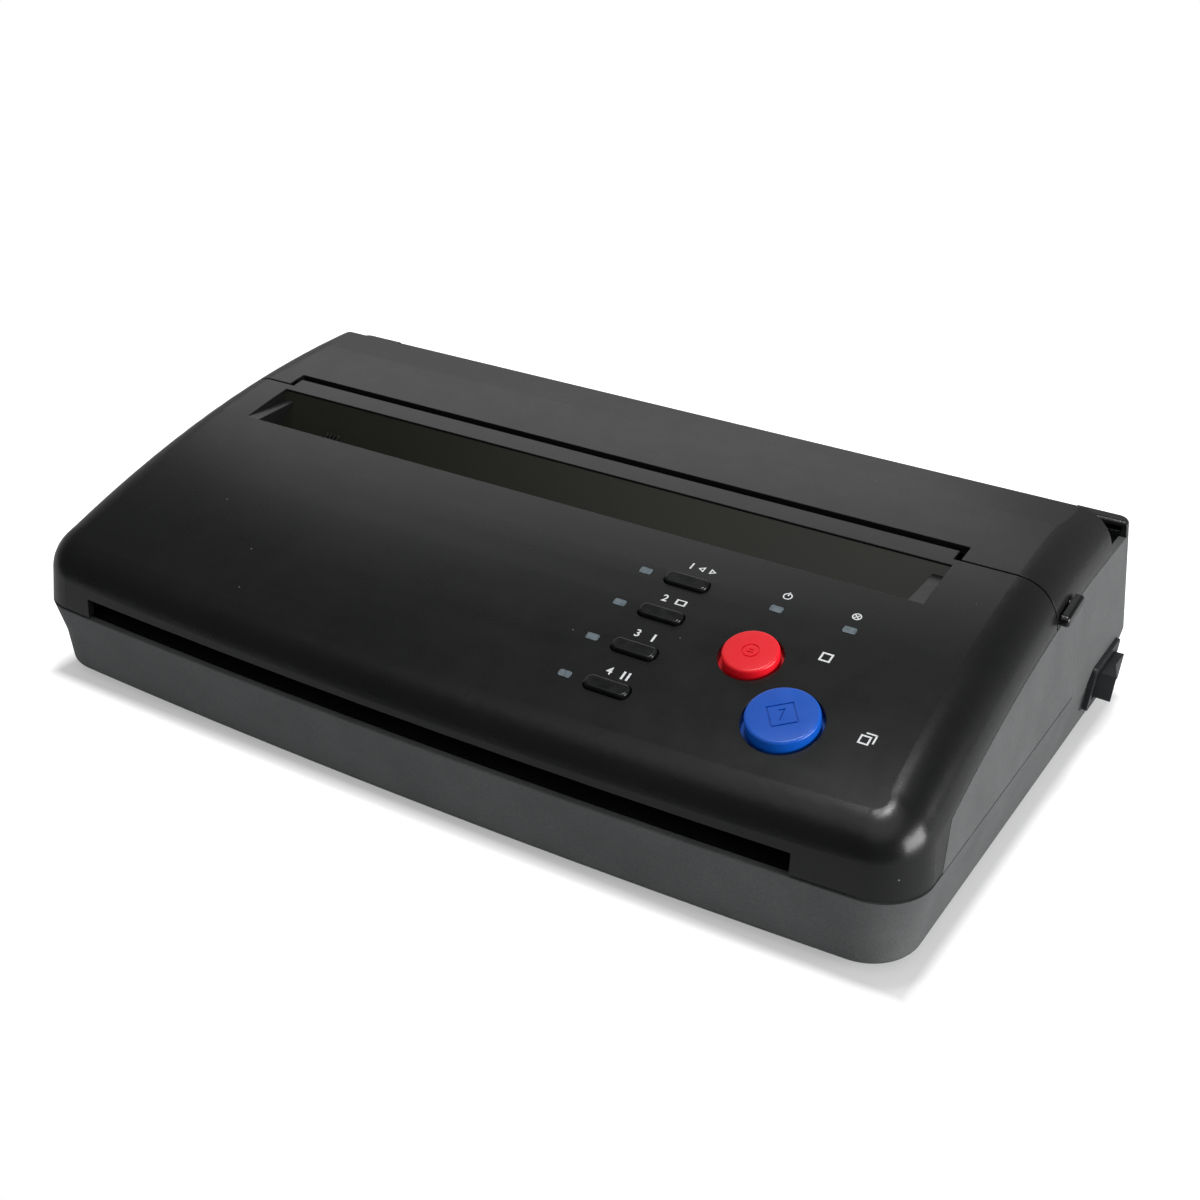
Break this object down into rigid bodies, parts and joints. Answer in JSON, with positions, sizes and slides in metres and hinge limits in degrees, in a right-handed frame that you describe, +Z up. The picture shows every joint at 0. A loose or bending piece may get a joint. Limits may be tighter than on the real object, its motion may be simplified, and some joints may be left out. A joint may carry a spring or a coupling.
{
  "type": "thermal stencil copier",
  "caption": "Desk-top thermal stencil copier: arched shell with front feed slot, window recess, buttons, latched rear cover, heated head, driven rollers and rear exit.",
  "frame": {"origin": "on the desk surface, under the middle of the overall outline", "axes": "+X to the operator's right along the rollers, +Y to the back, +Z up"},
  "size_m": [0.2894, 0.1624, 0.0661],
  "materials": {
    "tray": "fine moulded texture, dark grey",
    "cover": "satin black ABS",
    "window": "smoked clear acrylic",
    "dark_trim": "black, half gloss",
    "circuit_board": "glass-fibre laminate",
    "lens": "milky clear plastic",
    "steel_plate": "blackened sheet steel",
    "bush": "natural acetal",
    "scan_body": "black glass-filled plastic",
    "scan_glass": "clear flat glass",
    "spring_steel": "spring wire",
    "motor_steel": "zinc plated can",
    "shaft_steel": "ground steel",
    "switch_plastic": "black nylon",
    "chip": "moulded black",
    "foot_rubber": "soft rubber",
    "screw_steel": "zinc plated",
    "key": "polished black",
    "red_button": "polished red",
    "blue_button": "polished blue",
    "roller_rubber": "silicone rubber",
    "gear": "natural acetal",
    "pinion": "machined",
    "head_plate": "ceramic-faced aluminium",
    "carrier": "blackened sheet steel"
  },
  "bodies": {
    "base": {"base_tray": "tray", "side_panel_left": "tray", "side_panel_right": "tray", "front_cover": "cover", "smoked_window": "window", "sensor_comb": "dark_trim", "control_board": "circuit_board", "main_board": "circuit_board", "power_board": "circuit_board", "indicator_lenses": "lens", "tact_switches": "dark_trim", "left_side_plate": "steel_plate", "right_side_plate": "steel_plate", "shaft_bushes": "bush", "front_paper_guide": "steel_plate", "rear_paper_guide": "steel_plate", "scan_module": "scan_body", "scan_glass": "scan_glass", "stencil_paper_chute": "steel_plate", "head_stop_bar": "steel_plate", "head_springs": "spring_steel", "motor_bracket": "steel_plate", "motor_can": "motor_steel", "latch_catch": "shaft_steel", "power_switch_housing": "switch_plastic", "power_inlet": "switch_plastic", "board_chips": "chip", "power_transformer": "chip", "power_capacitors": "chip", "rear_bar": "dark_trim", "hinge_pins": "shaft_steel", "rubber_feet": "foot_rubber", "case_screws": "screw_steel", "paper_flag_stand": "dark_trim"},
    "rear_cover": {"rear_cover": "cover"},
    "latch": {"latch_lever": "dark_trim"},
    "mode_key_1": {"mode_key_1": "key"},
    "mode_key_2": {"mode_key_2": "key"},
    "mode_key_3": {"mode_key_3": "key"},
    "mode_key_4": {"mode_key_4": "key"},
    "stop_button": {"stop_button": "red_button"},
    "start_button": {"start_button": "blue_button"},
    "rocker": {"power_rocker": "switch_plastic"},
    "platen": {"platen_shaft": "shaft_steel", "platen_rubber": "roller_rubber", "platen_gear": "gear"},
    "feed": {"feed_shaft": "shaft_steel", "feed_rubber": "roller_rubber", "feed_gear": "gear"},
    "upper_idler": {"upper_idler_gear": "gear"},
    "lower_idler": {"lower_idler_gear": "gear"},
    "motor_rotor": {"motor_pinion": "pinion", "motor_shaft": "shaft_steel"},
    "head": {"print_head": "head_plate", "head_carrier": "carrier"},
    "flag": {"paper_flag": "bush"}
  },
  "joints": [
    {"name": "rear_cover_hinge", "type": "hinge", "parent": "base", "child": "rear_cover", "pos_m": [0, 0.072, 0.053], "axis": [-1, 0, 0], "range_deg": [0, 75]},
    {"name": "latch_pivot", "type": "hinge", "parent": "rear_cover", "child": "latch", "pos_m": [0.13178, 0.028, 0.05455], "axis": [1, 0, 0], "range_deg": [-30, 0], "stiffness_Nm_per_rad": 0.02, "springref_deg": 11.46},
    {"name": "mode_key_1_press", "type": "slide", "parent": "base", "child": "mode_key_1", "axis": [0, 0.2698, -0.9629], "range_m": [0, 0.001], "stiffness_N_per_m": 600, "springref_m": -0.001},
    {"name": "mode_key_2_press", "type": "slide", "parent": "base", "child": "mode_key_2", "axis": [0, 0.2698, -0.9629], "range_m": [0, 0.001], "stiffness_N_per_m": 600, "springref_m": -0.001},
    {"name": "mode_key_3_press", "type": "slide", "parent": "base", "child": "mode_key_3", "axis": [0, 0.2698, -0.9629], "range_m": [0, 0.001], "stiffness_N_per_m": 600, "springref_m": -0.001},
    {"name": "mode_key_4_press", "type": "slide", "parent": "base", "child": "mode_key_4", "axis": [0, 0.2698, -0.9629], "range_m": [0, 0.001], "stiffness_N_per_m": 600, "springref_m": -0.001},
    {"name": "stop_button_press", "type": "slide", "parent": "base", "child": "stop_button", "axis": [0, 0.2698, -0.9629], "range_m": [0, 0.001], "stiffness_N_per_m": 600, "springref_m": -0.001},
    {"name": "start_button_press", "type": "slide", "parent": "base", "child": "start_button", "axis": [0, 0.2698, -0.9629], "range_m": [0, 0.001], "stiffness_N_per_m": 600, "springref_m": -0.001},
    {"name": "power_rocker_tilt", "type": "hinge", "parent": "base", "child": "rocker", "pos_m": [0.13746, 0.0612, 0.0166], "axis": [0.0898, 0, 0.996], "range_deg": [-18, 0]},
    {"name": "platen_turn", "type": "hinge", "parent": "base", "child": "platen", "pos_m": [0, 0.042, 0.04], "axis": [1, 0, 0], "continuous": true},
    {"name": "upper_idler_turn", "type": "hinge", "parent": "base", "child": "upper_idler", "pos_m": [0.11478, 0.01941, 0.0319], "axis": [1, 0, 0], "continuous": true},
    {"name": "motor_turn", "type": "hinge", "parent": "base", "child": "motor_rotor", "pos_m": [0.11778, 0.01, 0.021], "axis": [1, 0, 0], "continuous": true},
    {"name": "lower_idler_turn", "type": "hinge", "parent": "base", "child": "lower_idler", "pos_m": [0.11478, -0.00002, 0.02897], "axis": [1, 0, 0], "continuous": true},
    {"name": "feed_turn", "type": "hinge", "parent": "base", "child": "feed", "pos_m": [0, -0.02, 0.0298], "axis": [1, 0, 0], "continuous": true},
    {"name": "print_head_tilt", "type": "hinge", "parent": "base", "child": "head", "pos_m": [0, 0.0565, 0.028], "axis": [-1, 0, 0], "range_deg": [0, 5], "stiffness_Nm_per_rad": 3, "springref_deg": -5.73, "deforming": ["head_springs"]},
    {"name": "paper_flag_tilt", "type": "hinge", "parent": "base", "child": "flag", "pos_m": [-0.00822, -0.0365, 0.019], "axis": [-1, 0, 0], "range_deg": [0, 30], "stiffness_Nm_per_rad": 0.0005, "springref_deg": -22.92}
  ],
  "couplings": [
    {"joint": "upper_idler_turn", "follows": "platen_turn", "ratio": -1.5},
    {"joint": "motor_turn", "follows": "platen_turn", "ratio": 3},
    {"joint": "lower_idler_turn", "follows": "platen_turn", "ratio": -1.8},
    {"joint": "feed_turn", "follows": "platen_turn", "ratio": 1.2}
  ]
}
